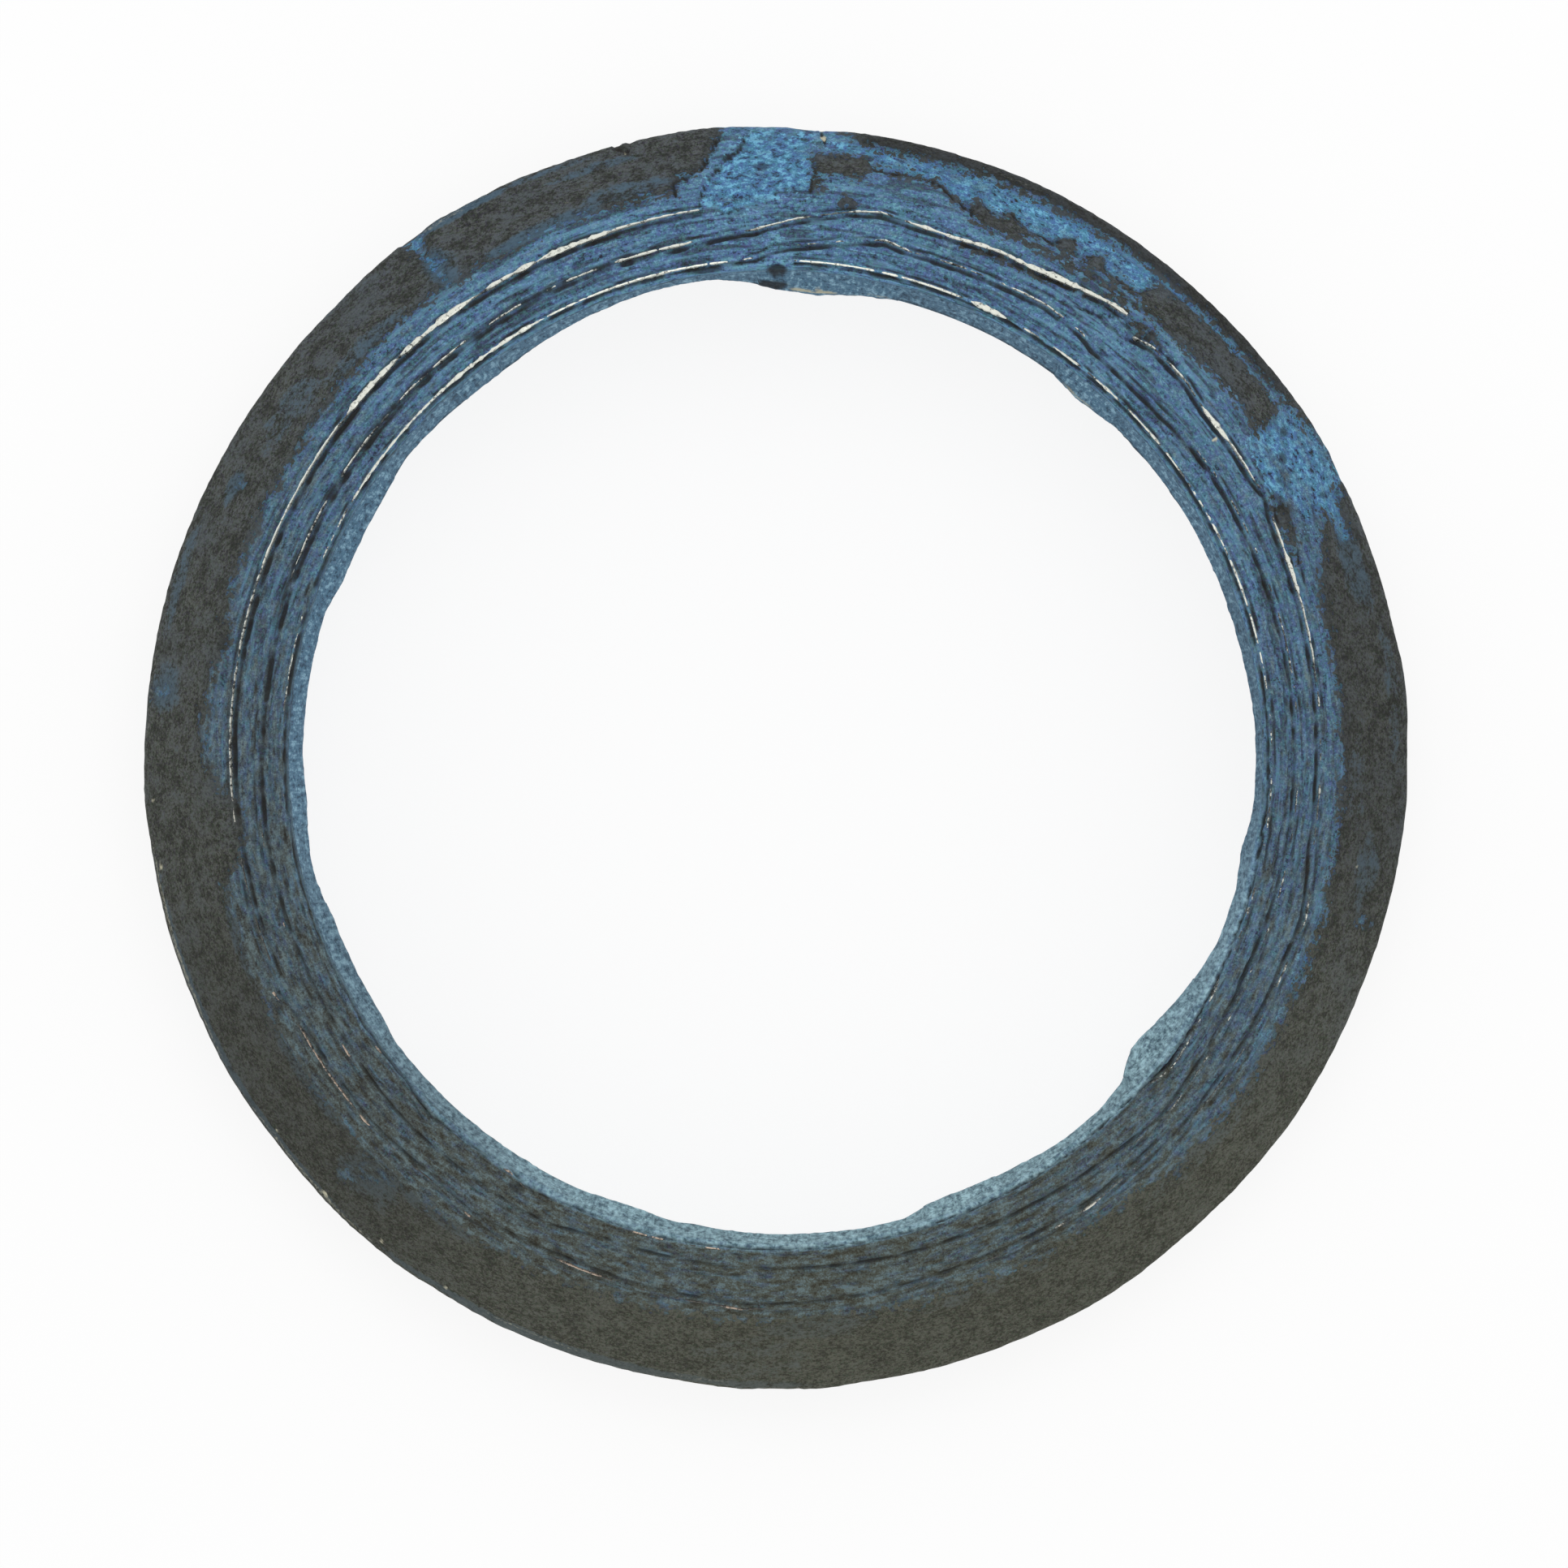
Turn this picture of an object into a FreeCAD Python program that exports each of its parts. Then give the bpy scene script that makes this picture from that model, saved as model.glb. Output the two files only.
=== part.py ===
import FreeCAD, Part

import math
import os

from FreeCAD import Vector

# Spiral wound exhaust pipe ring gasket. Millimetres, +Z up, origin in the middle of the flat base.
# Bearings are degrees clockwise from +Y, seen from above. The strip is wound clockwise and outwards.

# Section of the pressed ring, from the bore outwards and from the base up
bore_radius = 27.0
crest_width = 0.4
band_width = 4.2
cone_width = 4.1
land_height = 5.1
cone_rise = 5.5
band_rise = 2.1
bore_lip_drop = 0.45

# Bevels that the die leaves on the corners of the section, measured along each side. The lip
# between cone and band, and the bore's lip, are so blunt or so small that they stay plain.
bore_foot_bevel = 0.35
land_foot_bevel = 0.45
land_top_bevel = 0.5
crest_bevel = 0.12

# The wound steel strip, and the facing that covers it at the bore and under the lip
turn_count = 3
strip_thickness = 0.2
inner_layer = 0.4
lip_layer = 0.85
edge_crowding = 1.22

# Bearings of the strip's ends and of the step that each turn makes over the end of the one below
strip_start = 2.0
strip_end_before_top = 7.5
step_before_top = 15.0
step_after_top = 12.0
step_samples = 7

# The strip's bare edge stands proud of the facing, with a groove on its inner side
edge_stand = 0.12
groove_width = 0.2
groove_depth = 0.3

# Skin torn off the cone beside the strip's cut end: distance out from the lip, and bearing
torn_depth = 0.35
torn_corners = [
    (0.1, -7.4),
    (1.6, -6.7),
    (2.8, -4.8),
    (3.5, -2.4),
    (3.5, 3.0),
    (2.2, 2.4),
    (0.7, 3.6),
    (0.0, -1.0),
]

# Seam in the bore where the strip's inner end lies
seam_bearing = -1.4
seam_width = 0.6
seam_depth = 0.3

# Worked out from the values above
crest_radius = bore_radius + crest_width
lip_radius = crest_radius + band_width
land_radius = lip_radius + cone_width
lip_height = land_height + cone_rise
crest_height = lip_height + band_rise
above_crest = crest_height + edge_stand + groove_depth
half_strip = strip_thickness / 2


def spot(radius, bearing, height):
    """Point at a radius, clockwise bearing and height."""
    angle = math.radians(bearing)
    return Vector(radius * math.sin(angle), radius * math.cos(angle), height)


def bevelled_outline(corners):
    """Closed wire in the XZ plane through corners of radius, height and bevel, 0 for a plain one."""
    points = []
    for index, (radius, height, bevel) in enumerate(corners):
        here = Vector(radius, 0, height)
        if bevel == 0:
            points.append(here)
            continue
        for neighbour in (corners[index - 1], corners[(index + 1) % len(corners)]):
            towards = Vector(neighbour[0], 0, neighbour[1]) - here
            points.append(here + towards.normalize() * bevel)
    return Part.makePolygon(points + points[:1])


def pressed_ring():
    """The whole pressed body as one turned ring: bore, base, land, cone, winding band and crest."""
    section = bevelled_outline([
        (bore_radius, 0, bore_foot_bevel),
        (land_radius, 0, land_foot_bevel),
        (land_radius, land_height, land_top_bevel),
        (lip_radius, lip_height, 0),
        (crest_radius, crest_height, crest_bevel),
        (bore_radius, crest_height - bore_lip_drop, 0),
    ])
    return Part.Face(section).revolve(Vector(0, 0, 0), Vector(0, 0, 1), 360)


def moved_up(shape, rise):
    """Copy of a shape, moved up, or down where the rise is negative."""
    copy = shape.copy()
    copy.translate(Vector(0, 0, rise))
    return copy


def turn_radius(turn):
    """Middle radius of a turn of the strip; the turns crowd together towards the bore."""
    first = bore_radius + inner_layer + half_strip
    last = lip_radius - lip_layer - half_strip
    share = turn / (turn_count - 1)
    return first + (last - first) * share ** edge_crowding


def turn_arc(turn, offset):
    """The round stretch of one turn, from one step to the next or to the strip's end."""
    radius = turn_radius(turn) + offset
    start = strip_start if turn == 0 else step_after_top
    end = 360 - (strip_end_before_top if turn == turn_count - 1 else step_before_top)
    points = [spot(radius, bearing, 0) for bearing in (start, (start + end) / 2, end)]
    return Part.Arc(*points).toShape()


def step_edge(turn, offset):
    """The strip's way from one turn out to the next, an S-curve tangent to both."""
    near = turn_radius(turn) + offset
    far = turn_radius(turn + 1) + offset
    sweep = step_before_top + step_after_top
    points = []
    for sample in range(step_samples):
        share = sample / (step_samples - 1)
        rise = share * share * (3 - 2 * share)
        points.append(spot(near + rise * (far - near), share * sweep - step_before_top, 0))
    curve = Part.BSplineCurve()
    curve.interpolate(
        Points=points,
        InitialTangent=spot(1, 90 - step_before_top, 0),
        FinalTangent=spot(1, 90 + step_after_top, 0),
    )
    return curve.toShape()


def wound_strip(inner_offset, outer_offset):
    """The wound strip between two offsets from its middle line, from the base to above the crest."""
    sides = []
    for offset in (inner_offset, outer_offset):
        side = []
        for turn in range(turn_count):
            side.append(turn_arc(turn, offset))
            if turn < turn_count - 1:
                side.append(step_edge(turn, offset))
        sides.append(side)
    inner, outer = sides
    inner_end = Part.makeLine(inner[0].Vertexes[0].Point, outer[0].Vertexes[0].Point)
    cut_end = Part.makeLine(inner[-1].Vertexes[-1].Point, outer[-1].Vertexes[-1].Point)
    outline = Part.Wire(Part.__sortEdges__(inner + outer + [inner_end, cut_end]))
    return Part.Face(outline).extrude(Vector(0, 0, above_crest))


def upright_block(corners):
    """Block with the given corners on the base plane, taller than the ring."""
    return Part.Face(Part.makePolygon(corners + corners[:1])).extrude(Vector(0, 0, above_crest))


def torn_skin(ring):
    """The thin layer missing from the cone beside the cut end of the outermost turn."""
    corners = [spot(lip_radius + outward, bearing, 0) for outward, bearing in torn_corners]
    return upright_block(corners).cut(moved_up(ring, -torn_depth))


def edge_groove(ring):
    """The groove along the inner side of the strip's bare edge."""
    return wound_strip(-half_strip - groove_width, half_strip).cut(moved_up(ring, -groove_depth))


def bore_seam():
    """The shallow upright seam in the bore over the strip's inner end."""
    sideways = spot(seam_width / 2, seam_bearing + 90, 0)
    mouth = spot(bore_radius - seam_depth, seam_bearing, 0)
    bottom = spot(bore_radius + seam_depth, seam_bearing, 0)
    return upright_block([mouth - sideways, mouth + sideways, bottom])


def facing_ring():
    """The pressed composite facing, with the slot that holds the steel strip."""
    ring = pressed_ring()
    return ring.cut([wound_strip(-half_strip, half_strip), edge_groove(ring), torn_skin(ring), bore_seam()])


def steel_core():
    """The wound steel strip, cut to the ring's top with its edge a little proud."""
    ring = pressed_ring()
    return wound_strip(-half_strip, half_strip).common(ring.fuse(moved_up(ring, edge_stand)))


os.makedirs("parts", exist_ok=True)
for name, shape in (("facing_ring", facing_ring()), ("steel_core", steel_core())):
    box = shape.optimalBoundingBox()
    print(name, len(shape.Solids), "solid, valid", shape.isValid(), "volume", round(shape.Volume, 1))
    print("  size", round(box.XLength, 3), round(box.YLength, 3), round(box.ZMin, 3), round(box.ZMax, 3))
    shape.exportStep(f"parts/{name}.step")
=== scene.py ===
# %% [markdown]
# # A spiral wound exhaust ring
#
# This ring seals the joint between two exhaust pipes. A thin steel strip with blue composite
# facing on both sides is wound three turns and pressed in a die. The steel's cut edge shows on
# top as fine bright lines, and the pressed outside keeps a dark, sooty skin.
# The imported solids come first, because every piece below is built around their sizes.

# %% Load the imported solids
import math

import bpy
import numpy as np
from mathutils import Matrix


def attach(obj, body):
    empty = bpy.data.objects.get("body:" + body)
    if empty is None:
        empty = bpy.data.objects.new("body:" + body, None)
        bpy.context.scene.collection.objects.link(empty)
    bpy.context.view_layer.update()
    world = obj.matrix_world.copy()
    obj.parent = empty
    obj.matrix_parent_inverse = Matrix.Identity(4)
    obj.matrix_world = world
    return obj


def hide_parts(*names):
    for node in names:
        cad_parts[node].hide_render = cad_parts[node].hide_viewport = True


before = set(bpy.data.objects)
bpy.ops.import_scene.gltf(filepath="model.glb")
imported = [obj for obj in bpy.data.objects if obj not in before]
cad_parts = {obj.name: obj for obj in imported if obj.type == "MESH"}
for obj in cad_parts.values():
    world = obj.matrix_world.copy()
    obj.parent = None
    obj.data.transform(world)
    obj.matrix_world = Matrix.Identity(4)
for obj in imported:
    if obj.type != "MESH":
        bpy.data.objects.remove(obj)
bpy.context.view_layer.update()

MM = 0.001

# %% [markdown]
# ## The camera
#
# The ring was photographed from straight above with a long lens. A camera 410 mm up sees a point
# at radius r and height z at r * focal length / (410 - z) pixels from the ring's middle. That one
# rule turns every place that was read off the picture into a place on the ring, so it is the
# first helper. Bearings are degrees clockwise from the top of the picture.

# %% Camera and the rule that ties pixels to millimetres
IMAGE_PX = 1932
CAMERA_HEIGHT = 410.0
FOCAL_PX = 8848.0
SENSOR = 36.0
RING_CENTRE_PX = (955.7, 933.6)


def add_object(name, data):
    """Object that carries some data, linked to the scene."""
    thing = bpy.data.objects.new(name, data)
    bpy.context.collection.objects.link(thing)
    return thing


def seen_px(radius, height):
    """Distance in px from the ring's middle at which the camera sees a radius and height in mm."""
    return radius * FOCAL_PX / (CAMERA_HEIGHT - height)


px_per_mm = FOCAL_PX / CAMERA_HEIGHT
camera_data = bpy.data.cameras.new("top_camera")
camera_data.sensor_width = SENSOR
camera_data.lens = FOCAL_PX * SENSOR / IMAGE_PX
camera = add_object("top_camera", camera_data)
camera.location = (
    (IMAGE_PX / 2 - RING_CENTRE_PX[0]) / px_per_mm * MM,
    (RING_CENTRE_PX[1] - IMAGE_PX / 2) / px_per_mm * MM,
    CAMERA_HEIGHT * MM,
)
bpy.context.scene.camera = camera
bpy.context.scene.view_settings.view_transform = "Standard"
print("camera at", [round(v, 5) for v in camera.location], "px per mm", round(px_per_mm, 2))

# %% [markdown]
# ## Writing shader maths as Python
#
# A finish is easier to read as a formula than as a chain of nodes. `Wire` holds one output
# socket, and Python's own signs on it add Math nodes. Every other node, of the world, the floor
# or a material, comes from the one method `node` of `Finish`.

# %% Wire and Finish


class Wire:
    """An output socket. Signs such as + and * add a Math node, also with a plain number first."""

    def __init__(self, finish, socket):
        self.finish = finish
        self.socket = socket

    def output(self, key):
        """Another output of the same node."""
        return Wire(self.finish, self.socket.node.outputs[key])

    def math(self, operation, *values):
        return self.finish.node("ShaderNodeMath", {"operation": operation}, dict(enumerate(values)))

    def __add__(self, other):
        return self.math("ADD", self, other)

    __radd__ = __add__

    def __mul__(self, other):
        return self.math("MULTIPLY", self, other)

    __rmul__ = __mul__

    def __sub__(self, other):
        return self.math("SUBTRACT", self, other)

    def __rsub__(self, other):
        return self.math("SUBTRACT", other, self)

    def __truediv__(self, other):
        return self.math("DIVIDE", self, other)


class Finish:
    """The nodes of a material or of the world, emptied first."""

    def __init__(self, owner):
        owner.use_nodes = True
        self.tree = owner.node_tree
        self.tree.nodes.clear()

    def node(self, kind, settings, values, output=0):
        """Adds a node, sets its settings, then its sockets by name or number, and gives one output."""
        node = self.tree.nodes.new(kind)
        for name, value in settings.items():
            setattr(node, name, value)
        for key, value in values.items():
            if isinstance(value, Wire):
                self.tree.links.new(value.socket, node.inputs[key])
            else:
                node.inputs[key].default_value = value
        return Wire(self, node.outputs[output]) if node.outputs else None


def paint(red, green, blue):
    """Colour as a picture stores it, 0 to 255, turned into linear light."""
    parts = [c / 255 for c in (red, green, blue)]
    return tuple([c / 12.92 if c <= 0.04045 else ((c + 0.055) / 1.055) ** 2.4 for c in parts] + [1.0])


print("mid grey becomes", round(paint(119, 119, 119)[0], 3))

# %% [markdown]
# ## Light, floor and background
#
# The picture is evenly lit on a burnt-out white ground. A pale world gives most of the light,
# and one wide lamp from beyond the top of the picture shades the winding a little. The floor
# shows itself white to the camera through Light Path, so no lamp has to be turned up for it, and
# part of it stays plain paint, so that the ring keeps a faint shadow.

# %% World
WORLD_LIGHT = 0.86
WHITE = (1.0, 1.0, 1.0, 1.0)


def white_for_camera(finish):
    """Wire that is 1 for rays that see the background: camera, glossy and transmission rays."""
    total = finish.node("ShaderNodeLightPath", {}, {}, "Is Camera Ray")
    for ray in (total.output("Is Glossy Ray"), total.output("Is Transmission Ray")):
        total = total.math("MAXIMUM", total, ray)
    return total


world = bpy.data.worlds.new("pale_room")
bpy.context.scene.world = world
sky = Finish(world)
room_light = sky.node("ShaderNodeBackground", {}, {"Color": WHITE, "Strength": WORLD_LIGHT})
ground = sky.node("ShaderNodeBackground", {}, {"Color": WHITE, "Strength": 1.0})
either = sky.node("ShaderNodeMixShader", {}, {0: white_for_camera(sky), 1: room_light, 2: ground})
sky.node("ShaderNodeOutputWorld", {}, {"Surface": either})
print("world light", WORLD_LIGHT)

# %% Lamp
LAMP_WATTS = 0.22
LAMP_SIZE = (0.30, 0.18)
LAMP_PLACE = (0.03, 0.16, 0.32)
LAMP_TILT = -26

lamp_data = bpy.data.lights.new("wide_lamp", "AREA")
lamp_data.shape = "RECTANGLE"
lamp_data.size, lamp_data.size_y = LAMP_SIZE
lamp_data.energy = LAMP_WATTS
lamp = add_object("wide_lamp", lamp_data)
lamp.location = LAMP_PLACE
lamp.rotation_euler = (math.radians(LAMP_TILT), 0.0, 0.0)
print("lamp", LAMP_WATTS, "W at", LAMP_PLACE)

# %% Floor
FLOOR_HALF = 0.6
FLOOR_PAINT = (0.95, 0.95, 0.95, 1.0)
WHITE_SHARE = 0.86

floor_mesh = bpy.data.meshes.new("floor")
floor_corners = [(x * FLOOR_HALF, y * FLOOR_HALF, 0) for x, y in ((-1, -1), (1, -1), (1, 1), (-1, 1))]
floor_mesh.from_pydata(floor_corners, [], [(0, 1, 2, 3)])
floor = add_object("floor", floor_mesh)
floor_paint = bpy.data.materials.new("floor_white")
cover = Finish(floor_paint)
matt = cover.node("ShaderNodeBsdfDiffuse", {}, {"Color": FLOOR_PAINT})
glow = cover.node("ShaderNodeEmission", {}, {"Color": WHITE})
seen_white = white_for_camera(cover) * WHITE_SHARE
both = cover.node("ShaderNodeMixShader", {}, {0: seen_white, 1: matt, 2: glow})
cover.node("ShaderNodeOutputMaterial", {}, {"Surface": both})
floor_mesh.materials.append(floor_paint)
print("floor", 2 * FLOOR_HALF, "m wide")

# %% [markdown]
# ## The pressed section
#
# A die gives the ring one section all the way round: flat base, short upright land, steep cone,
# the sloping winding band and a low crest at the bore. It could be turned with the Screw
# modifier, but the winding needs its own relief at every bearing, so the ring is a grid instead:
# one parameter runs round the section, the other round the ring. Each corner is rounded, and
# the rows are close together only where there is fine relief.

# %% Section of the ring, from the bore's foot outwards and round
BORE_RADIUS = 27.0
RIM_RADIUS = 35.7
BASE_GAP = 0.04
SECTION = [  # radius, height, round (mm), cells in the round, cells in the run after it
    (BORE_RADIUS, BASE_GAP, 0.35, 3, 3),
    (RIM_RADIUS, BASE_GAP, 0.45, 4, 4),
    (RIM_RADIUS, 5.1, 0.7, 6, 28),
    (31.6, 10.6, 0.5, 5, 42),
    (27.4, 12.7, 0.2, 4, 6),
    (BORE_RADIUS, 12.25, 0.2, 3, 14),
]
LAND_TOP, LIP, BORE_LIP = 2, 3, 5


def rounded_section(corners):
    """Closed outline with rounded corners. A round is the quadratic blend of the corner with the
    two points that lie its size away on each side: (1-t)^2 a + 2t(1-t) corner + t^2 b."""
    points = np.array([corner[:2] for corner in corners])
    rounds = np.array([corner[2] for corner in corners])[:, None]
    before = np.roll(points, 1, axis=0) - points
    after = np.roll(points, -1, axis=0) - points
    arrive = points + before / np.linalg.norm(before, axis=1, keepdims=True) * rounds
    leave = points + after / np.linalg.norm(after, axis=1, keepdims=True) * rounds
    pieces = []
    for index, corner in enumerate(corners):
        t = np.linspace(0, 1, corner[3] + 1)[:, None]
        towards = (1 - t) ** 2 * arrive[index] + 2 * t * (1 - t) * points[index]
        pieces.append(towards + t ** 2 * leave[index])
        t = np.linspace(0, 1, corner[4] + 1)[1:-1, None]
        pieces.append((1 - t) * leave[index] + t * arrive[(index + 1) % len(corners)])
    return np.vstack(pieces)


section = rounded_section(SECTION)
section_radius, section_height = section.T
section_step = np.roll(section, -1, axis=0) - np.roll(section, 1, axis=0)
section_step /= np.linalg.norm(section_step, axis=1, keepdims=True)
section_out = np.stack([section_step[:, 1], -section_step[:, 0]], axis=1)

cells = np.array([[corner[3], corner[4]] for corner in SECTION])
row_after = np.concatenate([[0], np.cumsum(cells)])
land_top_row = row_after[2 * LAND_TOP]
lip_row = row_after[2 * LIP]
wall_row = row_after[2 * BORE_LIP + 1]
rows = np.arange(len(section))
on_top = (rows >= land_top_row) & (rows <= wall_row)
on_wall = rows > wall_row
print(len(rows), "rows; top from row", land_top_row, "to", wall_row)

# %% Columns round the ring, closer together where the skin is torn
COLUMN_COUNT = 812
FINE_FROM, FINE_TO = -26.0, 80.0
FINE_GAIN = 0.6
FAR_PX = 900.0


def spaced_bearings(count):
    """Bearings whose density is 1, and 1 + gain in the torn stretch: the inverse of its sum."""
    angle = np.linspace(0, 360, 3601)
    turned = (angle - FINE_FROM) % 360
    density = 1 + FINE_GAIN * (turned < FINE_TO - FINE_FROM)
    total = np.concatenate([[0], np.cumsum((density[1:] + density[:-1]) / 2)])
    return np.interp(np.arange(count) / count * total[-1], total, angle)


# On the grid, deg is the bearing, unwound the bearing from -180 to 180, and top_px the distance
# at which a vertex of the top is seen, which is FAR_PX for every other vertex.
deg = spaced_bearings(COLUMN_COUNT)[:, None] + np.zeros(len(rows))
unwound = np.where(deg > 180, deg - 360, deg)
seen = seen_px(section_radius, section_height)[None, :] + np.zeros((COLUMN_COUNT, 1))
top_px = np.where(on_top, seen, FAR_PX)
print(COLUMN_COUNT, "columns,", 2 * deg.size, "triangles")

# %% [markdown]
# ## Helpers for hand-made unevenness
#
# Pressed, torn and sooty surfaces are never even. Two helpers give that: a soft random ripple
# that closes on itself round the ring, with a fixed seed so that each run is the same, and the
# distance to an outline that was drawn as a few corners. The distance is what goes to the
# vertices, because a material can then cut a sharp ragged edge from it between two vertices.

# %% Steps, ripples and lists round the ring


def smooth(low, high, value):
    """0 below low, 1 above high, and 3t^2 - 2t^3 between them."""
    t = np.clip((value - low) / (high - low), 0, 1)
    return t * t * (3 - 2 * t)


def stretch(start, full, fading, end, bearing=deg):
    """1 over a stretch of the ring, rising from start to full and falling from fading to end."""
    return smooth(start, full, bearing) * smooth(end, fading, bearing)


def bump(value):
    """(1 - t^2)^2 for t between -1 and 1, and 0 elsewhere."""
    return np.clip(1 - value * value, 0, None) ** 2


def ripple(seed, around, spacing, bearing, distance):
    """Random values from -1 to 1 on a lattice of bearings and distances, blended smoothly."""
    across = int(FAR_PX / spacing) + 3
    table = np.random.default_rng(seed).uniform(-1, 1, (around, across))
    u = np.mod(bearing, 360) / 360 * around
    v = np.clip(distance / spacing, 0, across - 2)
    i = np.floor(u).astype(int)
    j = np.floor(v).astype(int)
    s = smooth(0, 1, u - i)
    t = smooth(0, 1, v - j)
    here, there = i % around, (i + 1) % around
    low = table[here, j] * (1 - s) + table[there, j] * s
    high = table[here, j + 1] * (1 - s) + table[there, j + 1] * s
    return low * (1 - t) + high * t


def top_ripple(seed, around, spacing):
    """Ripple over the ring's top, by bearing and px distance."""
    return ripple(seed, around, spacing, deg, top_px)


def extent(values):
    """The least and the greatest of some values in mm, for printing."""
    return f"{values.min():.2f} to {values.max():.2f} mm"


def portion(mask):
    """How much of the grid a mask covers, for printing."""
    return f"{mask.mean() * 100:.1f} % of the vertices"


def listed(pairs, bearing):
    """Value at a bearing from a list of bearings and values, straight between them."""
    bearings, values = np.array(pairs).T
    return np.interp(bearing, bearings, values)


print("a ripple is positive on", portion(top_ripple(1, 90, 20.0) > 0))

# %% Distances to outlines and lines
TINY = 1e-9


def on_plane(bearing, distance):
    """Bearing and distance as x and y, with y towards the top of the picture."""
    angle = np.radians(bearing)
    return distance * np.sin(angle), distance * np.cos(angle)


def drawn(corners):
    """Corners of bearing and px, with points every degree between them, as x and y."""
    corners = np.array(corners, float)
    steps = np.maximum(1, np.ceil(np.abs(np.diff(corners[:, 0])))).astype(int)
    place = np.concatenate([k + np.arange(n) / n for k, n in enumerate(steps)] + [[len(steps)]])
    which = np.arange(len(corners))
    bearing, px = (np.interp(place, which, column) for column in corners.T)
    return np.stack(on_plane(bearing, px), axis=1)


def line_gap(line, x, y):
    """Least distance in px to a line of corners: to each side it is the distance to the foot of
    the perpendicular, which is held between the side's two ends."""
    least = np.full(x.shape, 1 / TINY)
    for (ax, ay), (bx, by) in zip(line[:-1], line[1:]):
        dx, dy = bx - ax, by - ay
        t = np.clip(((x - ax) * dx + (y - ay) * dy) / (dx * dx + dy * dy + TINY), 0, 1)
        least = np.minimum(least, (x - ax - t * dx) ** 2 + (y - ay - t * dy) ** 2)
    return np.sqrt(least)


def outline_gap(outline, x, y):
    """Distance in px to a closed outline, positive inside. A point is inside where a level line
    from it crosses an odd number of sides."""
    inside = np.zeros(x.shape, bool)
    for (ax, ay), (bx, by) in zip(outline[:-1], outline[1:]):
        crossed = (ay > y) != (by > y)
        inside ^= crossed & (x < ax + (y - ay) / (by - ay or TINY) * (bx - ax))
    return np.where(inside, 1, -1) * line_gap(outline, x, y)


def over_top(corners):
    """Corners of a patch; where it crosses bearing 0, those before it are turned back by 360."""
    bearings = [bearing for bearing, px in corners]
    if min(bearings) >= 90 or max(bearings) <= 270:
        return corners
    return [(bearing - 360 if bearing > 180 else bearing, px) for bearing, px in corners]


def patches_gap(patches):
    """The largest of the distances to several outlines, so positive inside any of them."""
    gap = np.full(top_px.shape, -FAR_PX)
    for patch in patches:
        corners = over_top(patch)
        gap = np.maximum(gap, outline_gap(drawn(corners + corners[:1]), top_x, top_y))
    return gap


top_x, top_y = on_plane(deg, top_px)
centre = np.array([1.0])
print("a square's middle is", outline_gap([(0, 0), (2, 0), (2, 2), (0, 2), (0, 0)], centre, centre),
      "from its sides")

# %% [markdown]
# ## Where the steel strip runs
#
# The winding is one spiral, so its path is one list: unrolled bearing (the second turn starts at
# 360) and the px distance at which the steel shows. It wanders because the layers were crushed
# together. The same path places the steel and the groove beside it, so they always agree.

# %% Path of the steel's bare edge
STRIP_START, STRIP_END = 2.0, 1072.3
TURN_COUNT = 3
JUMP_PX = 4.5
JUMP_SPAN = 0.4
STRIP_PATH = [
    (2, 612), (40, 610), (82, 611), (120, 614), (128, 621), (131.5, 613), (135, 609), (150, 612),
    (180, 610), (205.7, 611), (209, 619), (212.5, 607), (220, 611), (224, 620), (228, 608),
    (260, 607), (300, 609), (330, 611), (355, 613), (357.7, 616), (359.5, 626), (361.7, 631),
    (363.6, 633), (367, 640), (372, 651), (375, 645), (386, 647), (391, 650), (395.7, 645),
    (398, 639), (403, 637), (408, 638), (414, 643), (420, 645), (450, 645), (475, 643), (488, 650),
    (493, 655), (500, 647), (515, 640), (540, 636), (560, 635), (566, 646), (574, 645), (586, 645),
    (595, 641), (610, 640), (622, 640), (635, 637), (660, 637), (690, 640), (705, 641), (710, 642),
    (715, 648), (717.9, 651), (723.2, 667), (727.4, 678), (731, 684), (734.4, 679), (738.9, 677),
    (744, 682), (747, 681), (750, 685), (753.6, 690), (756.6, 696), (758.6, 697), (760.3, 680),
    (762.7, 687), (768, 686), (771, 680), (780, 682), (782, 688), (784.5, 680), (788, 677),
    (792.5, 676), (800, 674), (813.6, 672), (820, 673), (827, 684), (832, 680), (854, 682),
    (855, 672), (865, 676), (880, 673), (903.5, 682), (905.7, 680), (918, 676), (923, 675),
    (934, 680), (938, 673), (948, 676), (960, 674), (965, 684), (966, 672), (983, 671), (1000, 674),
    (1020, 675), (1032, 677), (1050, 678), (1062, 679), (1072.3, 681),
]


def covered(unrolled):
    """1 where the path jumps sideways by more than JUMP_PX a degree, so that facing hides it."""
    jump = listed(STRIP_PATH, unrolled + JUMP_SPAN) - listed(STRIP_PATH, unrolled - JUMP_SPAN)
    return smooth(JUMP_PX, JUMP_PX * 1.5, np.abs(jump) / (2 * JUMP_SPAN))


turn_gap = []
for turn in range(TURN_COUNT):
    unrolled = deg + 360 * turn
    there = (unrolled >= STRIP_START) & (unrolled <= STRIP_END) & (covered(unrolled) < 0.5)
    turn_gap.append(np.where(there, top_px - listed(STRIP_PATH, unrolled), FAR_PX))
turn_gap = np.array(turn_gap)
print("strip from", STRIP_START, "to", STRIP_END, "degrees,", len(STRIP_PATH), "points")

# %% [markdown]
# ## Skin and tears
#
# The outside of the last turn was pressed against the die and is dark. Towards the winding its
# edge is ragged, and near the strip's cut end it is torn off, which shows lighter blue facing.
# Each region is a short list of corners, bearing and px. Regions of one kind share one distance.

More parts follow.
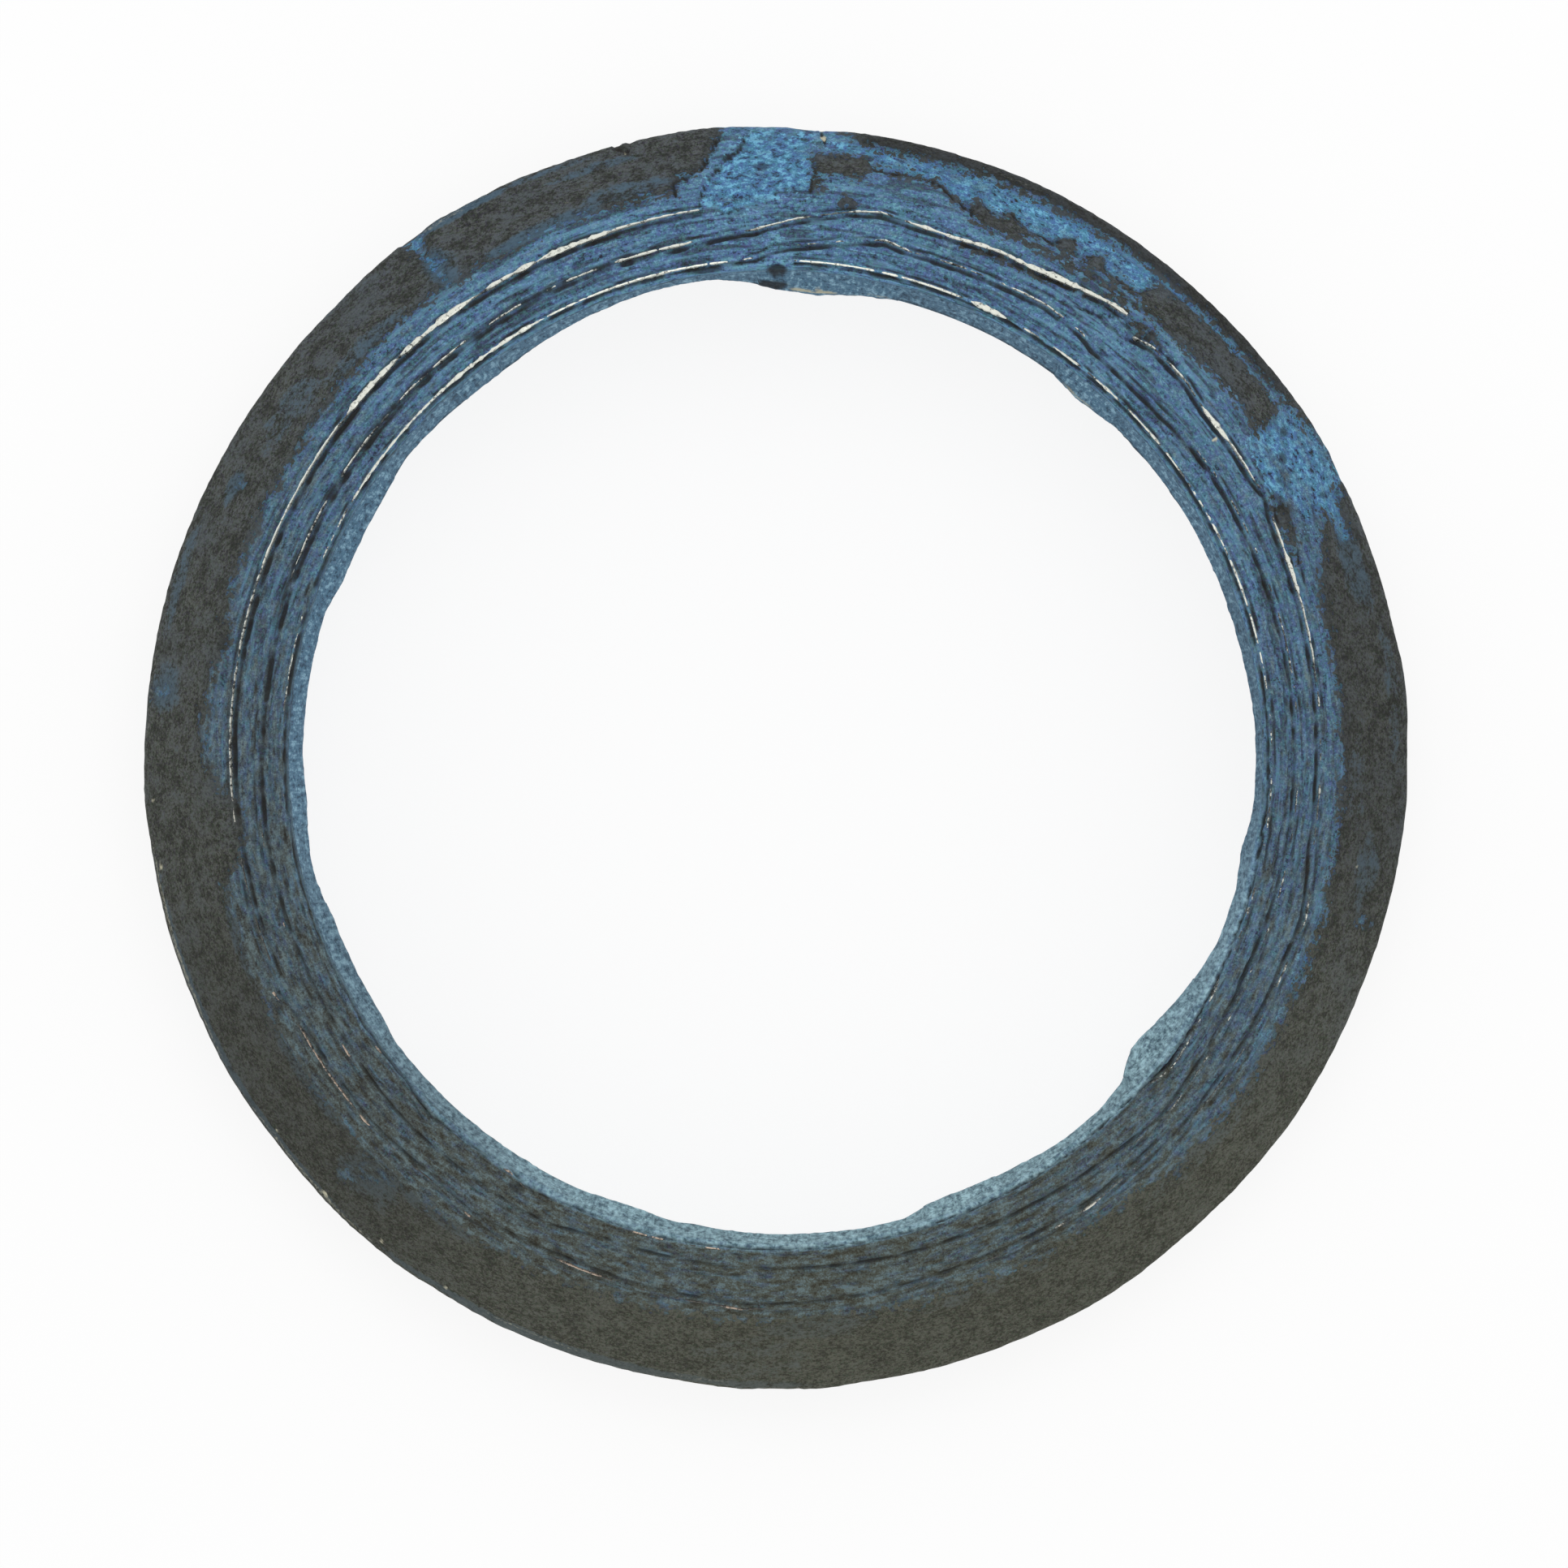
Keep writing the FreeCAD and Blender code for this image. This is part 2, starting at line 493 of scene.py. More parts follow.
# %% Regions of skin and of torn facing
PALE_MARGIN = 4
SKIN_EDGE = [
    (0, 800), (3.5, 800), (8, 764), (30, 762), (39, 764), (49, 764), (55, 766), (58, 775),
    (60, 790), (64, 790), (65, 745), (68.7, 723), (71, 712), (74, 700), (80, 698), (104, 698),
    (105, 705), (110, 705), (116, 702), (120, 706), (136, 706), (140, 697), (150, 695), (200, 695),
    (214, 698), (225, 700), (228, 700), (240, 699), (246, 696), (257, 696), (259, 672), (262, 660),
    (265, 664), (267, 690), (269, 698), (273, 707), (277, 703), (279.5, 698), (281.5, 688),
    (283.5, 696), (288, 705), (290.5, 701), (295, 700), (309, 700), (311, 706), (348, 706),
    (349.9, 704), (350, 718), (352.9, 733), (354.8, 768), (355.5, 800), (360, 800),
]
OLIVE_PATCHES = [
    [(38, 727), (40, 712), (47, 714), (56, 716), (56, 740), (55, 758), (46, 758), (39, 756)],
    [(18, 720), (20, 712), (20.5, 703), (25, 703), (27, 716), (28, 724), (26, 722), (23.6, 734),
     (22.5, 721), (20, 734), (19.2, 722)],
    [(28, 723), (30, 740), (31, 724), (33.3, 740), (34, 727), (38, 727), (38, 716), (29, 716)],
    [(3.5, 749), (9.1, 749), (9.1, 719), (4.9, 719), (4.7, 704), (3.7, 704)],
    [(9.6, 742), (12, 744), (16.4, 743), (18.4, 727), (20.4, 716), (19, 714), (16, 729),
     (13, 732), (9.6, 730)],
    [(25, 716), (29, 712), (38, 716), (40, 712), (38, 704), (30, 702), (25, 705)],
    [(38.4, 700), (42, 702), (43, 694), (40.5, 688), (38.6, 690)],
    [(20, 674), (26, 674), (33, 682), (36, 690), (33, 688), (27, 668), (20, 668)],
    [(6.6, 697), (8.1, 697), (8.1, 685), (6.6, 685)],
    [(357.5, 727), (358.5, 738), (360, 734), (359.6, 726)],
    [(62.3, 694), (63.8, 705), (66, 698), (69.4, 690), (69, 684), (63, 685)],
    [(282.5, 706), (284, 690), (281, 688), (280.5, 704)],
]
PALE_PATCHES = [
    [(4.6, 764), (5, 752), (9.3, 751), (9.5, 735), (13, 737), (16, 736), (17, 730), (17.8, 723),
     (19.4, 722), (20, 736), (21.5, 723), (23.5, 735), (25, 723), (28, 724), (30, 741),
     (31.2, 725), (33.3, 741), (34, 728), (38, 728), (39, 757), (49, 756), (49, 764)],
    [(55.5, 770), (56, 740), (55.5, 716), (57, 700), (61, 690), (62.5, 700), (64, 707),
     (66, 704), (67, 712), (65.5, 735), (66, 742), (69.4, 745), (69.4, 763), (66, 768),
     (64, 777), (58, 777)],
    [(352.5, 702), (354, 726), (355.2, 741), (356.7, 754), (357.4, 766), (359, 770), (3.2, 770),
     (3.4, 750), (3.3, 735), (3.7, 716), (3.4, 702), (0, 698), (359.5, 687), (354.6, 675),
     (353, 688)],
    [(323.9, 784), (326.3, 784), (326.0, 766), (325.6, 758), (325.9, 748), (326.2, 738), (325.6, 726),
     (326.0, 708), (324.6, 704), (324.8, 726), (324.4, 738), (324.5, 748), (324.6, 758), (323.8, 766)],
    [(275, 776), (276.6, 776), (277, 752), (275.6, 750)],
    [(296.5, 745), (297.5, 745), (297.4, 735), (296.6, 735)],
    [(105, 762), (106, 762), (106, 742), (104.8, 742)],
    [(104, 704), (110, 704), (116, 701), (121, 702), (121, 692), (112, 694), (106, 693)],
    [(220.8, 690), (221.5, 712), (224, 735), (226, 755), (227.6, 750), (226, 720), (224, 690)],
]

pale_gap = patches_gap(PALE_PATCHES)
skin_gap = np.maximum(-outline_gap(drawn(SKIN_EDGE), top_x, top_y), patches_gap(OLIVE_PATCHES))
skin_gap = np.minimum(skin_gap, PALE_MARGIN - pale_gap)
print("dark skin on", portion(skin_gap > 0))

# %% [markdown]
# ## Relief of the top
#
# The layers between two turns of steel bulge a little, each turn lies beside a narrow groove,
# and the torn places are a few tenths of a millimetre lower. All of it is one height field,
# `lift`, in millimetres along the section's outward direction. It could be sculpted, but then it
# would not follow the strip when the strip's path changes.

# %% Grooves beside the steel
GROOVE_OFFSET = -5.0
GROOVE_HALF = [
    (0, 4.6), (12, 5.6), (60, 5.6), (80, 4.6), (240, 4.6), (275, 6.8), (345, 6.8), (360, 4.6),
]
HAIRLINE_OFFSET, HAIRLINE_HALF = 4.2, 3.4
ROPE_HALF = 7.0

groove = bump((turn_gap - GROOVE_OFFSET) / listed(GROOVE_HALF, deg)).max(axis=0)
groove *= np.clip(0.72 + 0.45 * top_ripple(16, 260, 30.0) + 0.2 * top_ripple(18, 900, 30.0), 0.1, 1)
hairline = bump((turn_gap - HAIRLINE_OFFSET) / HAIRLINE_HALF).max(axis=0)
hairline *= np.clip(0.55 + 0.8 * top_ripple(17, 240, 30.0), 0, 1)
rope = bump(turn_gap[1] / ROPE_HALF) * stretch(278, 292, 344, 352)
rope *= np.clip(0.75 + 0.35 * top_ripple(20, 500, 8.0), 0, 1)
print("grooves on", portion(groove > 0.3))

# %% Height field of the top
BORE_LIP_PX, LIP_PX = 602.0, 700.0
CONE_PX = 650.0
CROWN, GROOVE_DEPTH, HAIRLINE_DEPTH = 0.05, 0.21, 0.08
SKIN_STEP, TORN_DEPTH = 0.05, 0.16
HIGHEST_LIFT = 0.06

steel_px = top_px - turn_gap
steel_inside = (turn_gap >= 0) & (turn_gap < FAR_PX)
below = np.maximum(np.where(steel_inside, steel_px, 0).max(axis=0), BORE_LIP_PX)
above = np.minimum(np.where(turn_gap < 0, steel_px, FAR_PX).min(axis=0), LIP_PX)
layer_share = np.clip((top_px - below) / np.maximum(above - below, 1), 0, 1)
band = (top_px > BORE_LIP_PX) & (top_px < LIP_PX)
crown = np.where(band, 4 * layer_share * (1 - layer_share), 0)
wrinkle = top_ripple(11, 240, 7.0) * 0.6 + top_ripple(12, 520, 4.0) * 0.4
pitted = top_ripple(13, 1400, 9.0)
swell = top_ripple(14, 60, 40.0)

lift = CROWN * crown - GROOVE_DEPTH * groove - HAIRLINE_DEPTH * hairline
lift += 0.05 * top_ripple(19, 420, 12.0) * band
lift += np.where(band, 0.05, 0.012) * wrinkle
lift += 0.012 * pitted + 0.03 * swell
lift -= SKIN_STEP * (1 - smooth(-6, 6, skin_gap)) * (top_px > CONE_PX)
torn = smooth(-3, 5, pale_gap) * (top_px > CONE_PX)
lift -= torn * (TORN_DEPTH + 0.05 * top_ripple(15, 700, 12.0))
lift = np.where(on_top, np.minimum(lift, HIGHEST_LIFT), 0)
print("relief from", extent(lift))

# %% [markdown]
# ## The bore's wall
#
# Seen from above, the hole's edge wanders by several px, because the innermost layer of facing
# sags into the bore in places and is worn back in others. The list gives the edge that shows.
# Where it lies outside the plain wall, the wall leans back towards the foot; where it lies
# inside, the layer bulges inwards below the lip.

# %% Wall of the bore
BORE_EDGE = [
    (0, 577), (5, 572), (10.6, 579), (15, 583), (30, 584), (36, 583), (40, 577), (43, 580),
    (46, 584), (60, 587), (75, 588), (85, 592), (95, 592), (98, 590), (101, 585), (106, 590),
    (113, 590), (120, 580), (127.6, 567), (129.4, 567), (131.3, 575), (133, 584), (137, 590),
    (143, 590), (150, 584), (158, 580), (161, 581), (164.6, 590), (170, 590), (180, 587),
    (184, 587), (190, 583), (192, 585), (198, 581), (205, 584), (233, 585), (237, 580), (250, 580),
    (255, 586), (258, 586), (265, 580), (270, 583), (288, 583), (292, 576), (298, 577), (304, 580),
    (309, 586), (312, 586), (319, 583), (325, 583), (335, 590), (345, 595), (350, 595), (353, 594),
    (357, 586), (360, 577),
]
PLAIN_EDGE_PX = 583
LEAN_TOP, LEAN_FULL = 12.0, 9.0
BULGE_TOP, BULGE_FULL = 11.6, 7.0
FOOT_ROWS = 3
HEIGHT_PX = 20

edge_px = listed(BORE_EDGE, deg)
plain = section_radius[None, :] + np.zeros_like(deg)
height = section_height[None, :] + np.zeros_like(deg)
past_wall = edge_px * (CAMERA_HEIGHT - height) / FOCAL_PX - BORE_RADIUS
leaning = np.maximum(0, past_wall) * smooth(LEAN_TOP, LEAN_FULL, height)
bulging = np.minimum(0, past_wall) * smooth(BULGE_TOP, BULGE_FULL, height)
near_wall = np.where(on_wall | (rows <= FOOT_ROWS), 1.0, 0.0)[None, :] + np.zeros_like(deg)
inward = np.where(edge_px > PLAIN_EDGE_PX, leaning, bulging) * near_wall
soft_wave = 0.04 * ripple(21, 200, 22.0, deg, height * HEIGHT_PX)
small_wave = 0.03 * ripple(22, 700, 12.0, deg, height * HEIGHT_PX)
inward += (soft_wave + small_wave) * on_wall
print("wall moves from", extent(inward))

# %% [markdown]
# ## The outer edge
#
# The outside wanders too, by up to a fifth of a millimetre, where the die let the last turn out
# or the skin broke off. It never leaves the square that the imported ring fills.

# %% Outside of the ring
RIM_EDGE = [
    (0, 781.5), (3, 776), (8, 778), (28, 778), (36, 776.5), (52, 777.5), (58, 780), (61, 781.5),
    (64, 778.5), (72, 778.5), (78, 779), (82, 782), (92, 781), (100, 779), (112, 777.5), (124, 779),
    (140, 777.5), (148, 780.5), (160, 779), (172, 778.5), (177, 782), (182, 782), (188, 778.5),
    (196, 778.5), (206, 780), (212, 778.5), (216, 781), (224, 780.5), (232, 778), (240, 779.5),
    (252, 778.5), (262, 778.5), (268, 781), (272, 778.5), (290, 778), (296, 777.5), (316, 778),
    (320, 780.5), (324, 783.5), (328, 784), (332, 782), (336, 782.5), (340, 780.5), (352, 781.5),
    (360, 781.5),
]
PLAIN_RIM_PX = 780.0
SQUARE_HALF = 35.68

rim_drift = (listed(RIM_EDGE, deg) - PLAIN_RIM_PX) / px_per_mm
on_land = smooth(34.0, 35.4, plain) * (1 - on_wall)
across_x, across_y = on_plane(deg, 1.0)
square_room = SQUARE_HALF / np.maximum(np.abs(across_x), np.abs(across_y)) - RIM_RADIUS
outward = np.minimum(rim_drift, square_room) * on_land
outward += 0.02 * (ripple(23, 700, 30.0, deg, height * HEIGHT_PX) - 1) * on_land
print("outside drifts from", extent(outward))

# %% [markdown]
# ## Cuts, creases and stains
#
# A crack runs in from the rim, a knife-like edge bounds the peeled patch, and creases cross the
# layers where the turns step outwards. Each is a line of corners with a width and a strength. It
# sinks the surface and darkens it: painted shade in the cracks and creases, and dark seams along
# the layers.
# Stains and bright specks are soft ovals. They darken, lighten or sink the surface where they lie.
# Some bright specks are painted highlights on the outer rim and at the crack; the rest are pale
# bits of bare filler and paper.
# They could be image masks painted by hand, but lists keep their sharpness at any distance.

# %% Lines and spots read off the picture
CUTS = [  # half width in px, strength, corners of bearing and px
    (3.0, 1.0, [(4.3, 778), (4.6, 765), (3.9, 757), (3.6, 748), (3.5, 735)]),
    (2.6, 0.7, [(3.6, 735), (3.9, 720), (3.6, 704)]),
    (3.0, 0.9, [(352.2, 688), (352.5, 703), (354, 726), (355.2, 741), (356.7, 754), (357, 765)]),
    (2.6, 0.7, [(354.4, 673), (357, 679), (360, 686)]),
    (4.0, 0.9, [(0, 697), (2, 701), (3.8, 702)]),
    (3.0, 0.9, [(349.9, 702), (349.9, 718), (352.9, 733), (354.8, 768)]),
    (3.0, 0.9, [(9.4, 734), (13, 737), (16, 736), (17.8, 723), (20, 714), (20.4, 733), (22, 722),
                (23.6, 734), (25, 722), (28.5, 722), (30, 739), (31, 724), (33.3, 740), (34, 727),
                (38, 727)]),
    (2.4, 0.6, [(38, 727), (39, 745), (38.5, 757), (49, 757), (52, 760)]),
    (3.2, 0.9, [(38.5, 699), (39.6, 683), (40.2, 672), (41.6, 690), (43.4, 694)]),
    (2.6, 0.8, [(34, 668), (36.5, 676), (38.4, 694), (41, 700), (44, 690), (47, 686)]),
    (2.4, 0.7, [(63, 700), (64, 706), (66, 699), (69.4, 690), (72, 688)]),
    (2.4, 0.6, [(5, 621), (12, 628), (20, 627), (28, 622), (34, 625), (45, 622), (58, 628)]),
    (2.4, 0.5, [(18, 655), (28, 660), (34, 668)]),
    (2.4, 0.6, [(66, 632), (76, 630), (88, 633), (99, 630), (110, 634), (124, 640)]),
    (2.4, 0.5, [(64, 655), (80, 657), (95, 655), (108, 659)]),
    (2.4, 0.5, [(122, 690), (133, 684), (137, 692), (142, 684)]),
    (2.4, 0.6, [(208, 622), (210, 610), (212, 624)]),
    (1.9, 0.9, [(92, 607), (101, 605), (112, 607), (120, 610), (127.8, 617), (131.5, 609),
                (135, 605), (143, 607),
                (152, 606), (162, 605)]),
    (1.9, 0.6, [(170, 606), (182, 605), (196, 605), (205.7, 606)]),
    (1.9, 0.7, [(215, 606), (220, 607), (224, 615), (228, 605), (238, 603), (252, 602)]),
    (2.4, 0.5, [(250, 625), (262, 621), (275, 626), (290, 622)]),
    (2.4, 0.5, [(298, 655), (310, 652), (325, 656), (338, 652), (350, 655)]),
    (2.2, 0.5, [(300, 622), (315, 619), (331, 623), (345, 620), (354, 624)]),
    (3.0, 0.9, [(345.4, 779), (346.1, 765), (346.8, 779)]),
]
STAINS = [  # bearing, px, half size in degrees, half size in px, strength
    (0.2, 600, 1.3, 8, 0.85), (352, 604, 2.2, 3.5, 0.7), (318, 591, 0.8, 6, 0.45),
    (100, 588, 1.2, 7, 0.5), (321.5, 588, 0.7, 4, 0.4), (328, 588, 0.7, 4, 0.4),
    (359.4, 582, 2.3, 6.5, 1.0), (63.8, 697, 2.4, 8, 0.5), (6.2, 734, 2.6, 13, 0.25),
    (358.6, 732, 1.0, 6, 0.6), (22, 712, 3.0, 8, 0.35), (47, 735, 9.0, 20, 0.25),
    (37, 581, 3.5, 4, 0.5), (59.5, 730, 0.7, 5, 0.7), (61.2, 712, 0.6, 4, 0.6),
    (57.4, 748, 0.5, 5, 0.7), (64.5, 752, 0.5, 4, 0.6), (281.7, 695, 1.3, 9, 0.5),
    (211, 618, 1.0, 8, 0.6), (131, 608, 3.5, 3, 0.5),
]
PALE_SPECKS_AND_HIGHLIGHTS = [  # the same, for pale specks of bare filler and paper, and painted highlights at the rim and the crack
    (4.4, 771, 0.3, 4.5, 0.7), (346.1, 768, 0.2, 3.5, 0.45), (4.6, 576.5, 3.2, 2.8, 0.8),
    (10.2, 577.5, 1.3, 2.0, 0.5), (39.5, 580, 3.4, 2.6, 0.55), (13, 582, 2.5, 2.0, 0.45),
    (100.8, 729, 0.2, 2.4, 0.5), (212, 771, 0.4, 3, 0.5), (219, 769, 0.3, 3, 0.6),
    (226, 773, 0.5, 2.5, 0.6), (233, 770, 0.3, 3, 0.6), (260, 771, 0.4, 2.5, 0.6),
    (266, 768, 0.3, 3, 0.5), (339.3, 730, 0.3, 3, 0.4), (54.2, 668, 0.25, 4, 0.8),
    (22.5, 773, 3.0, 1.6, 0.3), (187, 773, 4.0, 2.5, 0.3), (203, 772, 6.0, 2.5, 0.35),
    (328, 775, 3.6, 3.0, 0.35), (228, 776, 12.0, 2.2, 0.36), (252, 776, 13.0, 2.2, 0.4),
    (276, 776, 8.0, 2.0, 0.3),
]
WASHES = [  # the same, for blue that shows through the skin
    (182, 742, 6.0, 30, 0.36), (224, 722, 4.5, 26, 0.45), (276.5, 757, 2.6, 20, 0.6),
    (287, 768, 6.0, 9, 0.5), (296.6, 746, 2.0, 10, 0.6), (306, 735, 5.0, 20, 0.4),
    (315, 718, 6.0, 10, 0.45), (325.6, 732, 1.8, 26, 0.6), (330, 774, 5.5, 5, 0.8),
    (338, 774, 5.0, 4, 0.5), (336, 712, 7.0, 9, 0.6), (343, 760, 5.0, 6, 0.5),
    (345, 722, 5.0, 12, 0.5), (101, 742, 4.0, 16, 0.5), (72, 752, 4.5, 18, 0.6),
    (84, 764, 8.0, 9, 0.35), (92, 718, 6.0, 12, 0.3), (200, 774, 20.0, 5, 0.95),
    (240, 774, 20.0, 4, 0.8), (182, 774, 6.0, 5, 0.7), (132, 716, 10.0, 12, 0.4),
    (158, 706, 10.0, 8, 0.35), (176, 706, 6.0, 14, 0.5), (219, 703, 8.0, 9, 0.5),
    (235, 704, 7.0, 7, 0.45), (251, 700, 6.0, 8, 0.45),
]
print(len(CUTS), "cuts,", len(STAINS), "stains,", len(PALE_SPECKS_AND_HIGHLIGHTS), "specks,", len(WASHES), "washes")

# %% Marks on the top and the wall
WALL_FOOT = 2.0
JITTER_PX = 2.2
CUT_SOFTNESS = 1.4

wall_seen = seen_px(plain + inward, height)
mark_px = np.where(on_top, seen, np.where(on_wall & (height > WALL_FOOT), wall_seen, FAR_PX))
mark_x, mark_y = on_plane(deg, mark_px)
mark_x = mark_x + JITTER_PX * ripple(41, 1300, 6.0, deg, mark_px)
mark_y = mark_y + JITTER_PX * ripple(42, 1300, 6.0, deg, mark_px)


def ovals(marks):
    """Soft ovals: each is 1 within 0.6 of its half sizes and 0 beyond 1.3 of them."""
    total = np.zeros(deg.shape)
    for bearing, px, half_degrees, half_px, strength in marks:
        sideways = ((deg - bearing + 180) % 360 - 180) / half_degrees
        away = np.hypot(sideways, (mark_px - px) / half_px)
        total = np.maximum(total, strength * smooth(1.3, 0.6, away))
    return total


mark_fade = np.where(on_wall, smooth(5.6, 7.4, height), 1.0)
cut = np.zeros(deg.shape)
for half_width, strength, corners in CUTS:
    gap = line_gap(drawn(corners), mark_x, mark_y)
    cut = np.maximum(cut, strength * bump(gap / (half_width * CUT_SOFTNESS)))
cut *= np.clip(0.75 + 0.7 * ripple(43, 900, 9.0, deg, mark_px), 0.15, 1) * mark_fade
stain = ovals(STAINS) * mark_fade
speck_and_highlight = ovals(PALE_SPECKS_AND_HIGHLIGHTS) * mark_fade
wash = ovals(WASHES)
print("marks on", portion(np.maximum(cut, stain) > 0.3))

# %% Painted shade at the rim, on the cone and at the wall's foot, joined with the stains
rim = smooth(762, 767, top_px) * stretch(6, 9, 53, 57, unwound) * on_top
cone_dusk = (stretch(55, 75, 95, 125) + stretch(198, 222, 246, 272)) * (top_px > LIP_PX)
left_dusk = stretch(205, 232, 262, 285) * (top_px > 612) * on_top
# Painted shade low on the bore's wall at the top of the picture, where the wall faces away from the
# lamp.
foot = smooth(3.2, 0.6, height) * on_wall * stretch(-75, -50, 58, 72, unwound)
# One value darkens the real stains and the painted shade together.
stain_and_shade = np.maximum.reduce([stain, 0.55 * rim, 0.36 * cone_dusk, 0.36 * 0.6 * left_dusk, 0.75 * foot])
lift = np.where(on_top, lift - 0.2 * cut - 0.05 * stain, lift)
print("shade on", portion(stain_and_shade > 0.3))

# %% [markdown]
# ## Building the facing
#
# The facing is the pressed composite, one closed body. Its grid is ready: the section moved out
# by the relief, then by the wall's and the rim's drift. Both ways of the grid close on
# themselves, so there is no seam and no cap to make.

# %% Build the facing ring


def new_piece(name, points, faces, rounded):
    """Piece at the origin with a mesh of points in metres, shaded smooth if it is rounded."""
    mesh = bpy.data.meshes.new(name)
    mesh.from_pydata(points.reshape(-1, 3), [], faces)
    mesh.polygons.foreach_set("use_smooth", np.full(len(faces), rounded))
    mesh.update()
    return add_object(name, mesh)


def closed_grid(name, points):
    """Piece from a grid of points that closes both ways: each cell is one four-sided face."""
    index = np.arange(points[..., 0].size).reshape(points.shape[:2])
    right = np.roll(index, -1, axis=0)
    corners = [index, np.roll(index, -1, axis=1), np.roll(right, -1, axis=1), right]
    return new_piece(name, points, np.stack(corners, axis=2).reshape(-1, 4), True)


radius = plain + lift * section_out[:, 0] + inward + outward
radius = np.minimum(radius, square_room + RIM_RADIUS)
relief_height = height + lift * section_out[:, 1]
facing = closed_grid("facing", np.stack([*on_plane(deg, radius), relief_height], axis=2) * MM)
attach(facing, "root")
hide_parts("facing_ring")
print("facing", len(facing.data.vertices), "vertices")

# %% [markdown]
# ## What the facing's finish reads
#
# Marks, the grey cover, and painted light and shade belong to places on this ring, so the finish
# reads them as named values of the vertices. An image could hold them, but a value needs no
# unwrapping. The grey cover and the warmth change slowly round the ring, so each is a short list:
# the lower half has the most of both, so it is greyer and darker towards the bottom of the picture.

# %% Values on the facing
# Share of the grey cover by bearing: it makes the winding greyer and darker towards the bottom of the
# picture.
GREYING = [
    (0, 0.0), (40, 0.12), (88, 0.42), (125, 0.64), (150, 0.82), (180, 0.92), (232, 0.86),
    (272, 0.66), (315, 0.25), (345, 0.06), (360, 0.0),
]
WARMTH = [
    (0, 0.0), (50, 0.1), (95, 0.3), (130, 0.9), (180, 1.0), (230, 0.7), (270, 0.4), (315, 0.1),
    (360, 0.0),
]
GAP_LIMIT = 60


def add_values(piece, name, values):
    """Stores one number for each vertex, which a material reads as an attribute."""
    attribute = piece.data.attributes.new(name, "FLOAT", "POINT")
    attribute.data.foreach_set("value", np.asarray(values, np.float32).ravel())


# Grooves, hairlines, rope and cuts are darkened: partly dark seams between the layers, partly painted
# shade in these recesses, weaker towards the bottom of the picture.
groove_fade = 1 - 0.35 * stretch(75, 140, 240, 275)
# At the bottom of the picture the wall's colour, with its painted light, also covers the lip's
# innermost band.
lit_lip = 0.85 * smooth(612, 606, top_px) * stretch(85, 110, 195, 255)
facing_values = {
    "skin_gap": np.clip(skin_gap, -GAP_LIMIT, GAP_LIMIT),
    "pale_gap": np.clip(pale_gap, -GAP_LIMIT, GAP_LIMIT),
    "groove": np.maximum.reduce([groove * groove_fade, 0.8 * hairline * groove_fade, 0.85 * rope, cut]),
    "wall": np.maximum(near_wall, lit_lip),
    # Painted light: 1 on the bore's wall at the bottom of the picture, where it faces the lamp
    "painted_wall_light": stretch(85, 115, 210, 285),
    "stain_and_shade": stain_and_shade,
    "pale_speck_and_highlight": speck_and_highlight,
    "wash": wash,
    "lip_light": smooth(616, 606, top_px) * on_top,
    "greying": listed(GREYING, deg),
    "warmth": listed(WARMTH, deg),
}
for name, values in facing_values.items():
    add_values(facing, name, values)
print("facing carries", ", ".join(facing_values))

# %% [markdown]
# ## The steel strip
#
# The strip is a ribbon that stands in the facing. Only its sheared edge shows, and only where it
# was pressed clear of the composite: those spans are listed with their width. Between them the
# edge lies just under the surface. A profile of eight points is carried along the path. A curve
# with a bevel could make it too, but its top must follow the sloping band and change in width.

# %% Bright spans of the steel's edge
THIN, MEDIUM, THICK = 2.5, 4.2, 6.2
SPANS = [
    (2, 22, THIN), (23.5, 27.4, THICK), (30, 31.4, THIN), (34.2, 38, THIN), (40, 44, THIN),
    (45.5, 51, THIN), (52, 55, THIN), (57, 60, THIN), (60.5, 66, THIN), (66.5, 72.5, THIN),
    (73, 80, 2.1), (80.5, 86, 1.8), (86, 131, 1.45), (183.8, 188.7, 2.0), (192.5, 197, 2.0),
    (212.2, 213.2, THIN), (233.2, 234.2, THIN), (276, 287, 1.8), (293, 300, 1.8), (301, 355, THIN),
    (317, 331, MEDIUM), (355.5, 358.2, 1.8), (362.6, 364.4, 1.7), (366.5, 367.5, THIN),
    (371, 375, 2.0), (378, 383, 1.6), (385, 396.7, 2.0), (414.5, 418, 2.0), (420, 432, 1.2),
    (434, 450, 1.2), (453, 492, 1.2), (551.2, 552.2, THIN), (585.2, 586.2, THIN),
    (594.8, 596.7, THIN), (610.7, 611.7, THIN), (620.9, 621.9, THIN), (651, 660, 1.8),
    (663, 669, 1.9), (673.4, 677, 2.0), (677.8, 683.7, 2.0), (686.2, 691.5, 2.0), (693.8, 700, 2.0),
    (702.2, 711, 3.4), (717, 723, THIN), (728, 732, THIN), (734, 747, MEDIUM), (747, 753, THICK),
    (753, 758.6, MEDIUM), (759.8, 760.8, MEDIUM), (761.5, 763, THIN), (765, 768, THIN),
    (771, 775, THICK), (775, 780, THIN), (784.6, 787.8, 3.0), (787.8, 792.5, 4.4),
    (792.5, 800, 2.1), (803.6, 804.6, THIN), (813.2, 814.2, THIN), (825, 828, 1.6),
    (831.5, 835, 1.6), (863.5, 866, THIN), (868, 869.3, THIN), (903.4, 905.7, 2.2),
    (918.5, 923.4, 2.2), (933.3, 934.3, THIN), (947.6, 949.5, THIN), (950, 960, 1.8),
    (964.4, 965.4, MEDIUM), (983, 999.5, 1.8), (1001, 1008, 1.8), (1008.6, 1009.6, THIN),
    (1010, 1027.5, 2.6), (1029, 1036, THICK), (1037.2, 1046.5, THICK), (1048.4, 1051.7, MEDIUM),
    (1051.7, 1053.8, THICK), (1054.8, 1062.3, THICK), (1062.3, 1072.2, THIN),
]
